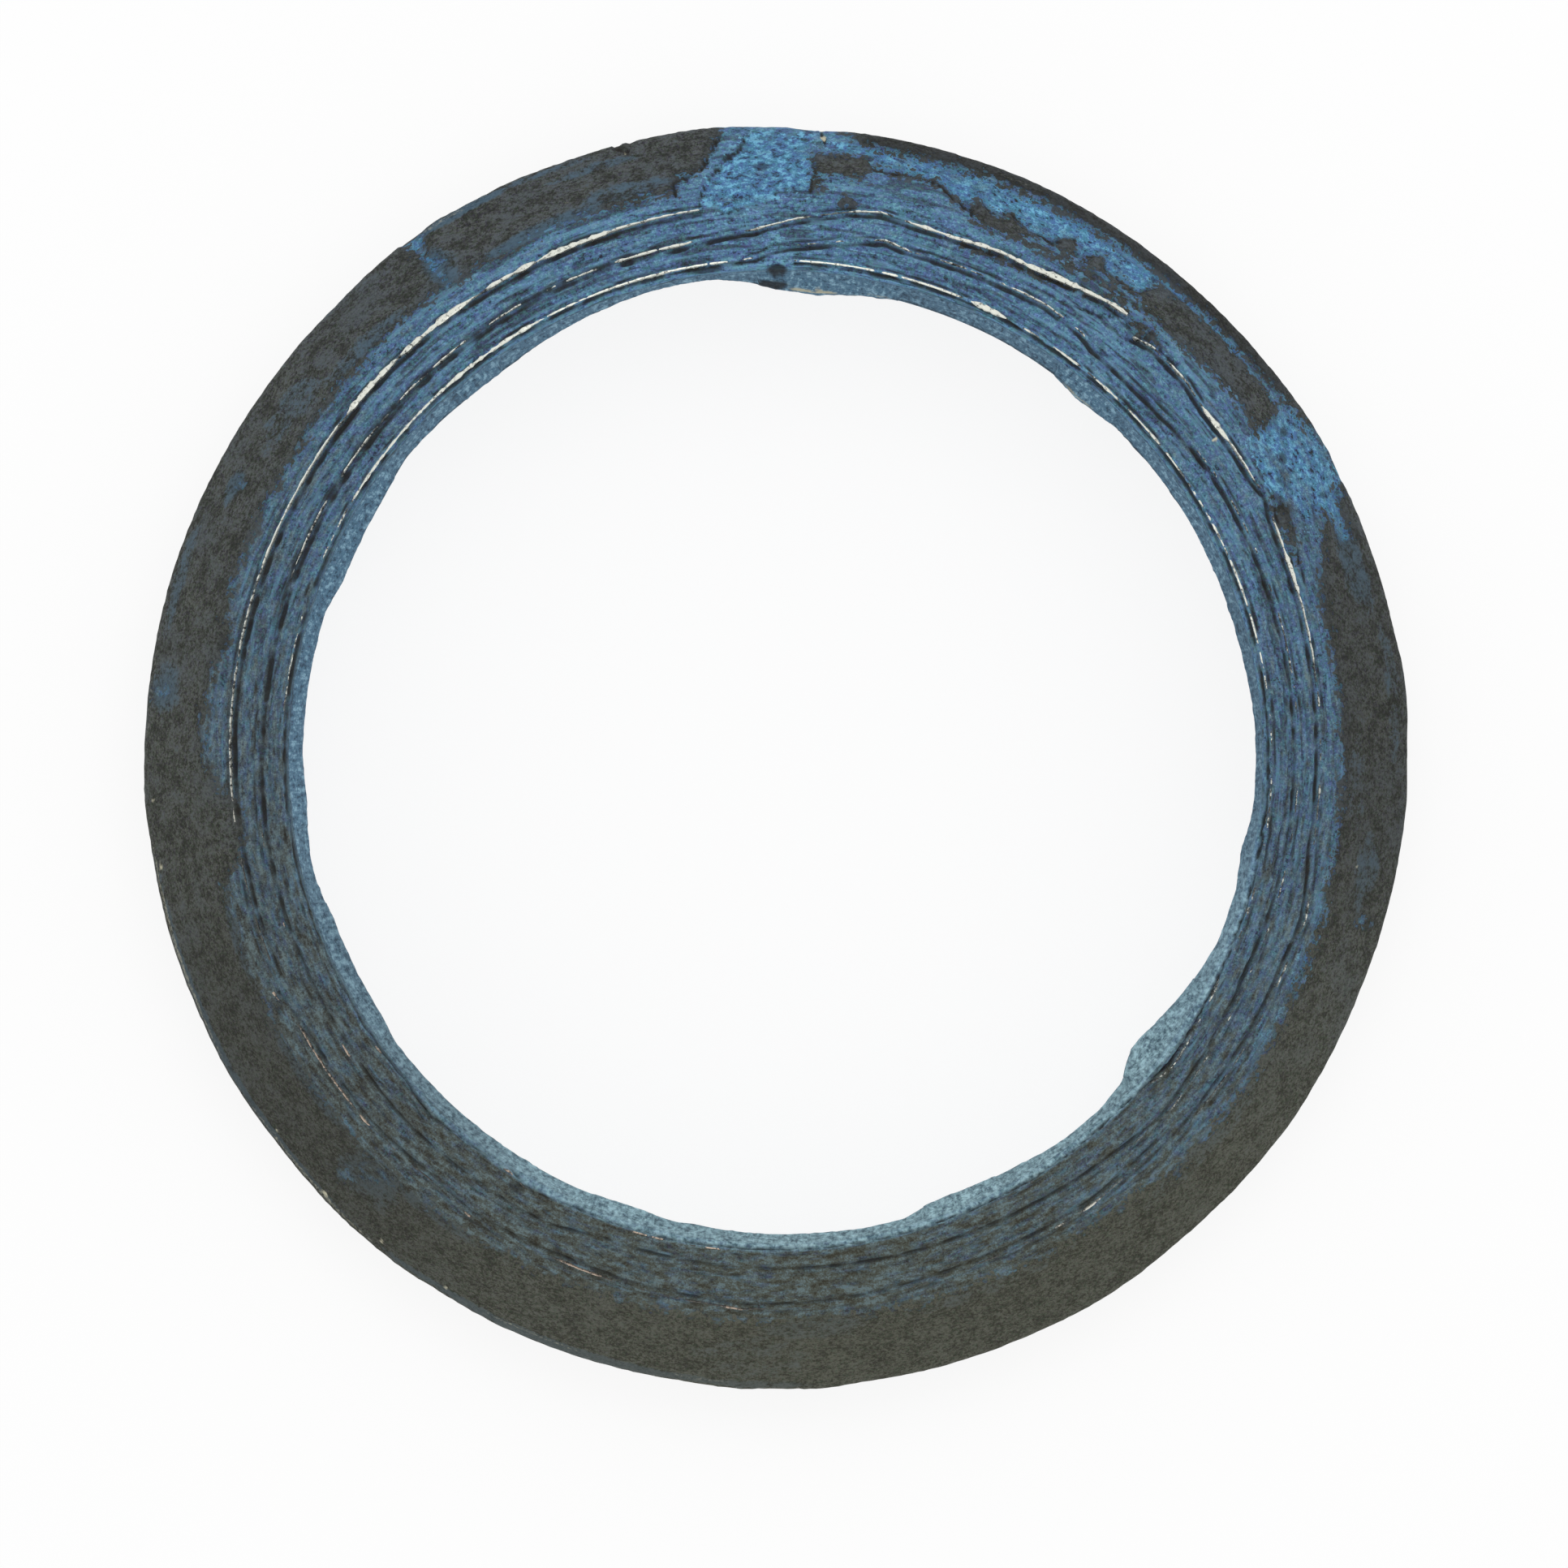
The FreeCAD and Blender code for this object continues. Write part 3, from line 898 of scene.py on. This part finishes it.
SPAN_FADE = 0.9
DIM_PX = 2.2
STEP_COUNT = 3200
TURN_SHIFT_PX = 40

spans = np.array(SPANS)
along = np.linspace(STRIP_START, STRIP_END, STEP_COUNT)
into_span = np.minimum(along[:, None] - spans[:, 0], spans[:, 1] - along[:, None])
span_px = smooth(-SPAN_FADE, SPAN_FADE, into_span) * spans[:, 2]
width_px = span_px.max(axis=1) * (1 - covered(along))
bareness = np.clip(width_px / THIN, 0, 1)
turn_px = np.floor(along / 360) * TURN_SHIFT_PX
flicker = ripple(31, 800, 40.0, along, turn_px) * 0.65 + ripple(32, 300, 40.0, along, turn_px) * 0.35
width = np.maximum(width_px * (1 + 0.55 * flicker), DIM_PX) / px_per_mm
stand = -0.07 + bareness * 0.11 + 0.06 * flicker - 0.3 * covered(along)
print(len(SPANS), "bright spans,", len(along), "steps along the strip")

# %% Where the strip's edge and its foot lie
TURN_RADIUS = np.array([27.5, 28.85, 30.65])
STEP_BEFORE_TOP, STEP_AFTER_TOP = 15.0, 12.0
FOOT_COVER = 0.4

top_rows = np.arange(lip_row, wall_row + 1)[::-1]
row_px = seen_px(section_radius[top_rows], section_height[top_rows])
edge_radius, edge_height, out_r, out_z = (
    np.interp(listed(STRIP_PATH, along), row_px, column[top_rows])
    for column in (section_radius, section_height, *section_out.T)
)

turn_at = np.floor((along + STEP_BEFORE_TOP) / 360).astype(int)
climb = smooth(0, STEP_BEFORE_TOP + STEP_AFTER_TOP, along + STEP_BEFORE_TOP - 360 * turn_at)
outer_turn = np.clip(turn_at, 0, TURN_COUNT - 1)
inner_turn = np.clip(turn_at - 1, 0, TURN_COUNT - 1)
base_radius = TURN_RADIUS[inner_turn] * (1 - climb) + TURN_RADIUS[outer_turn] * climb
wall_foot = listed(BORE_EDGE, along % 360) * CAMERA_HEIGHT / FOCAL_PX
base_radius = np.maximum(base_radius, wall_foot + FOOT_COVER)
print("steel's foot from", extent(base_radius), "and wall's foot from", extent(wall_foot))

# %% Build the steel strip
HALF_STRIP = 0.1
SINK = 0.6
SHOULDER = 0.05
PROFILE = [  # side, level; the strip's middle is side 0, its faces are sides -1 and 1
    (-1, "base"), (-1, "low"), (-1, "shoulder"), (-0.6, "top"),
    (0.6, "top"), (1, "shoulder"), (1, "low"), (1, "base"),
]
PROFILE_SHOWS = np.array([level in ("shoulder", "top") for side, level in PROFILE])


def profile_point(side, level):
    """Radius and height of one profile point, all along the strip. The base stands on the floor's
    side, `low` lies SINK under the facing, and the rest spread the width square to the band."""
    if level == "base":
        return base_radius + side * HALF_STRIP, np.full_like(along, BASE_GAP / 2)
    if level == "low":
        return edge_radius + side * HALF_STRIP - out_r * SINK, edge_height - out_z * SINK
    rise = stand - (SHOULDER if level == "shoulder" else 0.0)
    reach = side * width / 2
    return edge_radius + out_r * rise + reach * out_z, edge_height + out_z * rise - reach * out_r


def open_ribbon(name, points):
    """Piece of a closed profile carried along an open path, with a flat cap on each end."""
    index = np.arange(points[..., 0].size).reshape(points.shape[:2])
    low, high = index[:-1], index[1:]
    corners = [low, high, np.roll(high, -1, axis=1), np.roll(low, -1, axis=1)]
    sides = np.stack(corners, axis=2).reshape(-1, 4).tolist()
    return new_piece(name, points, sides + [index[0].tolist(), index[-1][::-1].tolist()], False)


profile = np.array([profile_point(*point) for point in PROFILE]).transpose(2, 0, 1)
strip_xy = on_plane(along[:, None], profile[..., 0])
strip = open_ribbon("steel_strip", np.stack([*strip_xy, profile[..., 1]], axis=2) * MM)
add_values(strip, "bare", bareness[:, None] * PROFILE_SHOWS)
# Painted shade: the edge is darker and a little warm towards the bottom of the picture, where it faces
# away from the lamp.
add_values(strip, "warm_and_painted_shade", np.repeat(smooth(0.35, 0.8, -np.cos(np.radians(along - 25))), len(PROFILE)))
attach(strip, "root")
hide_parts("steel_core")
print("steel strip", len(strip.data.vertices), "vertices")

# %% [markdown]
# ## The facing's finish
#
# The composite is a blue paper-like mass of fibre and filler. It is mottled at a quarter of a
# millimetre, and streaked along the winding, because the strip was dragged as it was pressed.
# The streaks read the direction from the axis and the distance from it, which has no seam. A
# noise that is stretched in x or y would only fit at two bearings.

# %% Places and noises of the facing
TO_MM = 1000.0
SHIFT = (40.0, 17.0, 9.0)
facing_paint = bpy.data.materials.new("composite_facing")
finish = Finish(facing_paint)


def ramp(low, high, value, to_low=0.0, to_high=1.0):
    """Smooth step of a wire from one range to another."""
    return value.finish.node("ShaderNodeMapRange", {"interpolation_type": "SMOOTHSTEP"}, {
        "Value": value, "From Min": low, "From Max": high, "To Min": to_low, "To Max": to_high,
    }, "Result")


def blend(mask, under, over):
    """Two colours mixed by a mask, which is 1 where the second shows. Each is a wire, or a colour
    as a picture stores it."""
    under, over = (paint(*colour) if isinstance(colour, tuple) else colour for colour in (under, over))
    return mask.finish.node("ShaderNodeMix", {"data_type": "RGBA"}, {0: mask, 6: under, 7: over}, 2)


def noise(place, scale, detail=2.0, roughness=0.5):
    """Noise of a vector, with `scale` lumps to each of its units."""
    return place.finish.node("ShaderNodeTexNoise", {}, {
        "Vector": place, "Scale": scale, "Detail": detail, "Roughness": roughness,
    }, "Fac")


def named(finish, name):
    """A named value of the vertices."""
    return finish.node("ShaderNodeAttribute", {"attribute_name": name}, {}, "Fac")


def place_in_mm(finish):
    """Object coordinates in millimetres."""
    place = finish.node("ShaderNodeTexCoord", {}, {}, "Object")
    return finish.node("ShaderNodeVectorMath", {"operation": "SCALE"}, {0: place, "Scale": TO_MM})


def wound(around, across, up=1.0):
    """Vector for streaks along the winding: the direction from the axis times `around`, and the
    distance from it times `across` plus the height times `up`."""
    return finish.node("ShaderNodeCombineXYZ", {}, {
        0: x / distance * around, 1: y / distance * around, 2: distance * across + z * up,
    })


place = place_in_mm(finish)
x = finish.node("ShaderNodeSeparateXYZ", {}, {0: place})
y, z = x.output(1), x.output(2)
distance_squared = x * x + y * y
distance = distance_squared.math("SQRT", distance_squared)
shifted = finish.node("ShaderNodeVectorMath", {"operation": "ADD"}, {0: place, 1: SHIFT})

fine = noise(place, 4.6, 3.0, 0.6)
grain = noise(place, 11.0, 1.0)
middling = noise(place, 2.2, 2.0, 0.55)
cloud = noise(place, 1.1)
wide = noise(place, 0.28)
hue = ramp(0.38, 0.62, noise(shifted, 2.4, 2.0, 0.6))
brown = ramp(0.50, 0.66, noise(shifted, 1.3))
tint = noise(shifted, 5.2, 2.0, 0.6)
streak = noise(wound(26, 4.2, 1.5), 1.0, 3.0, 0.6)
long_streak = noise(wound(9, 2.4), 1.0)
layer = noise(wound(7, 4.8, 2), 1.0, 2.0, 0.55)
fibre = noise(wound(30, 3.6), 1.0, 2.0, 0.6)
upright = finish.node("ShaderNodeCombineXYZ", {}, {0: x, 1: y, 2: z * 0.1})
drag = noise(upright, 3.6, 3.0, 0.65)
print("places and noises:", len(finish.tree.nodes), "nodes")

# %% [markdown]
# ### From the inside outwards
#
# The colours are laid over each other as they came to be: blue facing, torn places, the bore's
# wall with painted light on its lower half, a grey cover that grows towards the bottom of the
# picture, pressed skin, and last dark seams, stains and painted shade, and pale specks and painted
# highlights. Each edge is the distance to an outline plus noise, passed through a step, so that it
# is ragged at the scale of the fibres.

# %% Blue facing, torn facing and the bore's wall, with painted light on the wall's lower half
warmth = named(finish, "warmth")
wall_and_lit_lip_at = named(finish, "wall")
lip_light = named(finish, "lip_light")

tone = fine * 0.34 + middling * 0.22 + streak * 0.28 + grain * 0.16
deep = blend(brown, blend(hue, (38, 52, 62), (42, 48, 70)), (46, 44, 41))
deep = blend(ramp(0.42, 0.62, wide) * 0.75, deep, (56, 80, 106))
middle = blend(hue, (76, 118, 142), (78, 104, 148))
light = blend(hue, (116, 172, 192), (112, 154, 200))
blue = blend(ramp(0.405, 0.485, tone + lip_light * 0.03), deep, middle)
blue = blend(ramp(0.50, 0.58, tone + lip_light * 0.065), blue, light)
blue = blend(ramp(0.44, 0.36, long_streak) * 0.7, blue, (42, 43, 42))
blue = blend(ramp(0.43, 0.36, layer) * 0.6, blue, (44, 50, 54))
blue = blend(ramp(0.54, 0.64, layer) * 0.4, blue, (112, 160, 188))
blue = blend(ramp(0.50, 0.36, tint) * 0.35, blue, (84, 142, 146))
blue = blend(ramp(0.52, 0.66, tint) * 0.3, blue, (92, 96, 150))

torn_tone = fine * 0.3 + middling * 0.5 + grain * 0.2
torn_middle = blend(hue, (74, 128, 156), (76, 112, 160))
torn_blue = blend(ramp(0.39, 0.48, torn_tone), deep, torn_middle)
torn_blue = blend(ramp(0.50, 0.60, torn_tone), torn_blue, (114, 178, 210))
ragged = (fine - 0.5) * 30 + (middling - 0.5) * 30 + (cloud - 0.5) * 22 + (grain - 0.5) * 12
colour = blend(ramp(-2.0, 2.0, named(finish, "pale_gap") + ragged), blue, torn_blue)

wall_tone = drag * 0.55 + fine * 0.3 + cloud * 0.15
unlit_wall_blue = blend(ramp(0.39, 0.48, wall_tone), (58, 80, 98), (90, 126, 150))
unlit_wall_blue = blend(ramp(0.50, 0.60, wall_tone), unlit_wall_blue, (146, 184, 204))
# lit_deep and lit_light are a lighter copy of the wall's blue: painted light on the wall at the bottom
# of the picture, where it faces the lamp.
lit_deep = blend(warmth, (66, 94, 120), (74, 98, 106))
lit_light = blend(warmth, (150, 190, 214), (182, 216, 222))
lit_blue = blend(ramp(0.36, 0.64, wall_tone), lit_deep, lit_light)
wall_blue = blend(named(finish, "painted_wall_light") * 0.85, unlit_wall_blue, lit_blue)
wall_blue = blend(ramp(0.52, 0.66, tint) * 0.3, wall_blue, (100, 112, 148))
colour = blend(wall_and_lit_lip_at, colour, wall_blue)
print("with the facing's blues:", len(finish.tree.nodes), "nodes")

# %% Grey cover, darker towards the bottom of the picture, and the pressed skin
grey_tone = fibre * 0.45 + fine * 0.3 + grain * 0.25
grey_deep = blend(warmth, (44, 46, 48), (59, 58, 49))
grey_middle = blend(warmth, (72, 82, 88), (79, 84, 77))
grey_cover = blend(ramp(0.40, 0.50, grey_tone), grey_deep, grey_middle)
grey_cover = blend(ramp(0.50, 0.60, grey_tone), grey_cover, (99, 115, 117))
# The grey cover follows the listed share by bearing, broken up by streaks along the winding.
greying_mask = named(finish, "greying") * 0.95 + (streak - 0.5) * 1.7 + (long_streak - 0.5) * 0.9
greying_mask = greying_mask + (middling - 0.5) * 0.6 + (fine - 0.5) * 0.5
colour = blend(ramp(-0.1, 1.0, greying_mask) * (1 - wall_and_lit_lip_at), colour, grey_cover)

skin_at = named(finish, "skin_gap")
cool = 1 - warmth
mostly_cool = 1 - warmth * 0.75
speckle = ramp(0.40, 0.60, fine * 0.45 + grain * 0.3 + cloud * 0.15 + wide * 0.1)
cool_olive = blend(speckle, (38, 40, 38), (89, 93, 92))
warm_olive = blend(speckle, (56, 56, 47), (93, 94, 83))
olive = blend(warmth, cool_olive, warm_olive)
olive = blend(ramp(0.50, 0.64, tint) * (1 - warmth * 0.8) * 0.4, olive, (68, 66, 84))
olive = blend(ramp(0.50, 0.36, tint) * 0.35, olive, (62, 78, 64))
olive = blend(ramp(0.50, 0.34, cloud) * mostly_cool * 0.45, olive, (44, 46, 42))
olive = blend(ramp(0.52, 0.70, cloud) * mostly_cool * 0.25, olive, (96, 98, 90))
olive = blend(ramp(18.0, 3.0, skin_at + ragged * 0.4) * cool * 0.5, olive, (40, 43, 40))
bluish = ramp(0.46, 0.62, wide * 0.35 + cloud * 0.35 + fine * 0.3) * cool * 0.4
skin_colour = blend(bluish, olive, (66, 78, 92))
washed = named(finish, "wash") + (fine - 0.5) * 1.1 + (cloud - 0.5) * 1.0 + (streak - 0.5) * 0.5
washed_blue = blend(warmth, (72, 102, 124), (84, 92, 92))
skin_colour = blend(ramp(0.2, 0.8, washed) * 0.6, skin_colour, washed_blue)
skin = ramp(-2.0, 2.0, skin_at + ragged) * (1 - wall_and_lit_lip_at)
colour = blend(skin, colour, skin_colour)
print("with soot and skin:", len(finish.tree.nodes), "nodes")

# %% Dark seams with painted shade in grooves and cracks, stains and specks, and the surface itself
groove_shade_and_seam_at = named(finish, "groove")
stain_and_shade_at = named(finish, "stain_and_shade")
speck_and_highlight_at = named(finish, "pale_speck_and_highlight")
# Dark lines beside the steel and in the cracks: dark seams between the layers, and painted shade in
# these recesses.
groove_shade_and_seam = ramp(0.08, 0.8, groove_shade_and_seam_at + (fine - 0.5) * 0.9 * groove_shade_and_seam_at) * 0.9
colour = blend(groove_shade_and_seam, colour, (36, 34, 31))
# Real stains and the painted shade at the rim, on the cone and at the wall's foot darken the colour
# together.
stain_and_shade_mask = ramp(0.1, 0.9, stain_and_shade_at + (fine - 0.5) * 0.4 * stain_and_shade_at) * 0.9
colour = blend(stain_and_shade_mask, colour, (34, 34, 33))
# Pale specks of bare filler and paper, and painted highlights on the outer rim and at the crack.
colour = blend(ramp(0.25, 0.75, speck_and_highlight_at + (fine - 0.5) * 0.6), colour, (196, 192, 168))

relief = fine * 0.6 + streak * 0.5 + grain * 0.2 + skin * 0.3
bumped = finish.node("ShaderNodeBump", {}, {
    "Strength": 0.55, "Distance": 0.00012, "Height": relief,
}, "Normal")
surface = finish.node("ShaderNodeBsdfPrincipled", {}, {
    "Base Color": colour,
    "Roughness": ramp(0.3, 0.7, fine, 0.95, 0.7),
    "Specular IOR Level": 0.1,
    "Normal": bumped,
})
finish.node("ShaderNodeOutputMaterial", {}, {"Surface": surface})
facing.data.materials.append(facing_paint)
print("facing material with", len(finish.tree.nodes), "nodes")

# %% [markdown]
# ## The steel's finish
#
# The strip's edge was sheared and then rubbed by the die. Where it stands clear it is bright, and
# elsewhere it is dull with dust from the facing. Towards the bottom of the picture both are painted
# darker and a little warm: painted shade where the edges face away from the lamp. One value of
# the vertices says how bare the edge is, and noise breaks its border into beads.

# %% Steel material
steel_paint = bpy.data.materials.new("sheared_steel")
edge_finish = Finish(steel_paint)
spots = noise(place_in_mm(edge_finish), 5.0, 2.0, 0.6)
warm_and_shade_at = named(edge_finish, "warm_and_painted_shade")
# Both colours turn darker and a little warm towards the bottom of the picture: painted shade with a
# warm tint.
bright = blend(warm_and_shade_at, (222, 224, 214), (186, 168, 152))
dust_and_shade = blend(warm_and_shade_at, (122, 130, 128), (86, 82, 74))
dull = blend(ramp(0.40, 0.70, spots), (48, 50, 50), dust_and_shade)
shine = ramp(0.42, 0.86, named(edge_finish, "bare") * 0.8 + (spots - 0.5) * 1.8 + 0.08)
rough_edge = edge_finish.node("ShaderNodeBump", {}, {
    "Strength": 0.3, "Distance": 0.00005, "Height": spots,
}, "Normal")
surface = edge_finish.node("ShaderNodeBsdfPrincipled", {}, {
    "Base Color": blend(shine, dull, bright),
    "Metallic": shine * 0.8,
    "Roughness": ramp(0.3, 0.7, spots, 0.3, 0.5),
    "Normal": rough_edge,
})
edge_finish.node("ShaderNodeOutputMaterial", {}, {"Surface": surface})
strip.data.materials.append(steel_paint)
print("steel material with", len(edge_finish.tree.nodes), "nodes")
